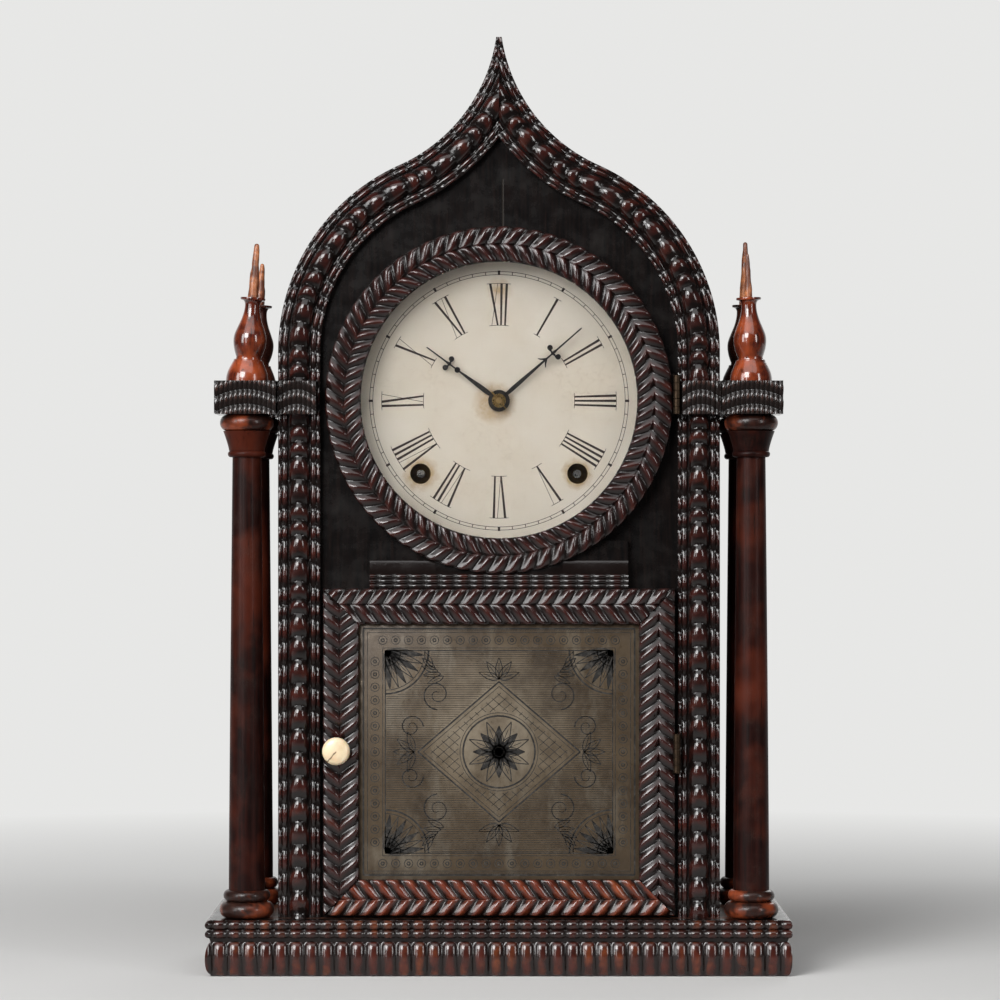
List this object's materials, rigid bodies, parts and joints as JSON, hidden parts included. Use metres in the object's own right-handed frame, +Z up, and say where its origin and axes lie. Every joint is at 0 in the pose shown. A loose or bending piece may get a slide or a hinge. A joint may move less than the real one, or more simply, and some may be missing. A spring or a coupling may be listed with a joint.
{
  "type": "shelf clock",
  "caption": "Wooden shelf clock with an ogee-arched case, ripple mouldings, turned corner columns with spires, and a hinged door with round dial and etched tablet.",
  "frame": {"origin": "middle of the plinth's footprint, at its bottom face", "axes": "+Z up, the dial faces -Y, +X to the right as seen from the front"},
  "size_m": [0.317, 0.118, 0.5078],
  "materials": {
    "rosewood": "polished ripple-cut rosewood",
    "plinth_rosewood": "polished ripple-cut rosewood, redder",
    "veneer": "polished veneer",
    "black_board": "black stain",
    "column_mahogany": "French polish",
    "finial_mahogany": "French polish",
    "pine": "bare",
    "dial_paint": "aged cream paint",
    "tablet_glass": "silvered grey with etched ornament",
    "clear_glass": "clear",
    "bone": "polished bone",
    "black_iron": "satin black",
    "collet_brass": "polished",
    "hinge_brass": "tarnished",
    "movement_brass": "satin",
    "steel": "satin",
    "blued_steel": "blued",
    "gong_iron": "japanned"
  },
  "bodies": {
    "root": {"left_moulding": "rosewood", "right_moulding": "rosewood", "moulding_blocks": "rosewood", "column_blocks": "rosewood", "base_front_moulding": "plinth_rosewood", "base_side_mouldings": "plinth_rosewood", "base_core": "plinth_rosewood", "case_left_side": "veneer", "case_right_side": "veneer", "roof_shells": "veneer", "front_board": "black_board", "front_columns": "column_mahogany", "rear_columns": "column_mahogany", "front_left_finial": "finial_mahogany", "front_right_finial": "finial_mahogany", "rear_left_finial": "finial_mahogany", "rear_right_finial": "finial_mahogany", "back_board": "pine", "dial_rails": "pine", "dial_plate": "dial_paint", "case_hinge_leaves": "hinge_brass", "hinge_pins": "hinge_brass", "front_plate": "movement_brass", "back_plate": "movement_brass", "plate_pillars": "movement_brass", "suspension_cock": "movement_brass", "mainsprings": "blued_steel", "gong_coil": "blued_steel", "gong_stand": "gong_iron"},
    "door": {"door_board": "black_board", "door_left_stile": "rosewood", "door_right_stile": "rosewood", "door_top_rail": "rosewood", "door_bottom_rail": "rosewood", "tablet": "tablet_glass", "bezel_ring": "rosewood", "dial_glass": "clear_glass", "bridge_piece": "rosewood", "door_hinge_leaves": "hinge_brass"},
    "knob_shaft": {"knob": "bone", "latch_tongue": "hinge_brass"},
    "centre": {"minute_hand": "black_iron", "centre_arbor": "movement_brass", "hand_collet": "collet_brass"},
    "hour": {"hour_hand": "black_iron", "hour_wheel": "movement_brass"},
    "motion_wheel": {"minute_wheel": "movement_brass"},
    "time_great": {"time_main_wheel": "movement_brass"},
    "time_winder": {"time_winding_arbor": "steel"},
    "second": {"second_wheel": "movement_brass"},
    "third": {"third_wheel": "movement_brass"},
    "escape": {"escape_wheel": "movement_brass"},
    "verge_arbor": {"verge": "steel"},
    "pendulum": {"pendulum_rod": "steel", "pendulum_bob": "movement_brass"},
    "hammer_arbor": {"hammer": "steel"},
    "strike_great": {"strike_main_wheel": "movement_brass"},
    "strike_winder": {"strike_winding_arbor": "steel"},
    "strike_second": {"strike_second_wheel": "movement_brass"},
    "fly_arbor": {"fly": "movement_brass"}
  },
  "joints": [
    {"name": "door_hinge", "type": "hinge", "parent": "root", "child": "door", "pos_m": [0.0962, -0.0518, 0.12], "axis": [0, 0, 1], "range_deg": [0, 120]},
    {"name": "knob_turn", "type": "hinge", "parent": "door", "child": "knob_shaft", "pos_m": [-0.0879, -0.0513, 0.1209], "axis": [0, 1, 0], "range_deg": [0, 90]},
    {"name": "minute_turn", "type": "hinge", "parent": "root", "child": "centre", "pos_m": [0, -0.02, 0.3107], "axis": [0, 1, 0], "continuous": true},
    {"name": "hour_turn", "type": "hinge", "parent": "root", "child": "hour", "pos_m": [0, -0.03, 0.3107], "axis": [0, 1, 0], "continuous": true},
    {"name": "motion_wheel_turn", "type": "hinge", "parent": "root", "child": "motion_wheel", "pos_m": [-0.01358, -0.027, 0.29712], "axis": [0, 1, 0], "continuous": true},
    {"name": "second_turn", "type": "hinge", "parent": "root", "child": "second", "pos_m": [0.02593, -0.004, 0.29335], "axis": [0, 1, 0], "continuous": true},
    {"name": "third_turn", "type": "hinge", "parent": "root", "child": "third", "pos_m": [0.0099, -0.004, 0.3299], "axis": [0, 1, 0], "continuous": true},
    {"name": "escape_turn", "type": "hinge", "parent": "root", "child": "escape", "pos_m": [0, -0.004, 0.3467], "axis": [0, 1, 0], "continuous": true},
    {"name": "time_great_turn", "type": "hinge", "parent": "root", "child": "time_great", "pos_m": [0.0428, 0.008, 0.271], "axis": [0, 1, 0], "continuous": true},
    {"name": "time_winding", "type": "hinge", "parent": "root", "child": "time_winder", "pos_m": [0.0428, -0.004, 0.271], "axis": [0, 1, 0], "continuous": true},
    {"name": "pendulum_swing", "type": "hinge", "parent": "root", "child": "pendulum", "pos_m": [0, 0.0185, 0.3687], "axis": [0, 1, 0], "range_deg": [-3, 3]},
    {"name": "verge_swing", "type": "hinge", "parent": "root", "child": "verge_arbor", "pos_m": [0, 0, 0.3687], "axis": [0, 1, 0], "range_deg": [-3, 3]},
    {"name": "hammer_lift", "type": "hinge", "parent": "root", "child": "hammer_arbor", "pos_m": [-0.01, 0, 0.262], "axis": [0, 1, 0], "range_deg": [0, 12]},
    {"name": "strike_turn", "type": "hinge", "parent": "root", "child": "strike_great", "pos_m": [-0.0428, 0.008, 0.271], "axis": [0, 1, 0], "continuous": true},
    {"name": "strike_second_turn", "type": "hinge", "parent": "root", "child": "strike_second", "pos_m": [-0.02593, -0.004, 0.29335], "axis": [0, 1, 0], "continuous": true},
    {"name": "fly_turn", "type": "hinge", "parent": "root", "child": "fly_arbor", "pos_m": [-0.03763, -0.004, 0.31361], "axis": [0, 1, 0], "continuous": true},
    {"name": "strike_winding", "type": "hinge", "parent": "root", "child": "strike_winder", "pos_m": [-0.0428, -0.004, 0.271], "axis": [0, 1, 0], "continuous": true}
  ],
  "couplings": [
    {"joint": "hour_turn", "follows": "minute_turn", "ratio": 0.083333},
    {"joint": "motion_wheel_turn", "follows": "minute_turn", "ratio": -0.33333},
    {"joint": "second_turn", "follows": "minute_turn", "ratio": -0.5},
    {"joint": "third_turn", "follows": "minute_turn", "ratio": -8},
    {"joint": "escape_turn", "follows": "minute_turn", "ratio": 96},
    {"joint": "time_great_turn", "follows": "minute_turn", "ratio": 0.083333},
    {"joint": "verge_swing", "follows": "pendulum_swing", "ratio": 1},
    {"joint": "strike_second_turn", "follows": "strike_turn", "ratio": -6},
    {"joint": "fly_turn", "follows": "strike_turn", "ratio": 48}
  ]
}
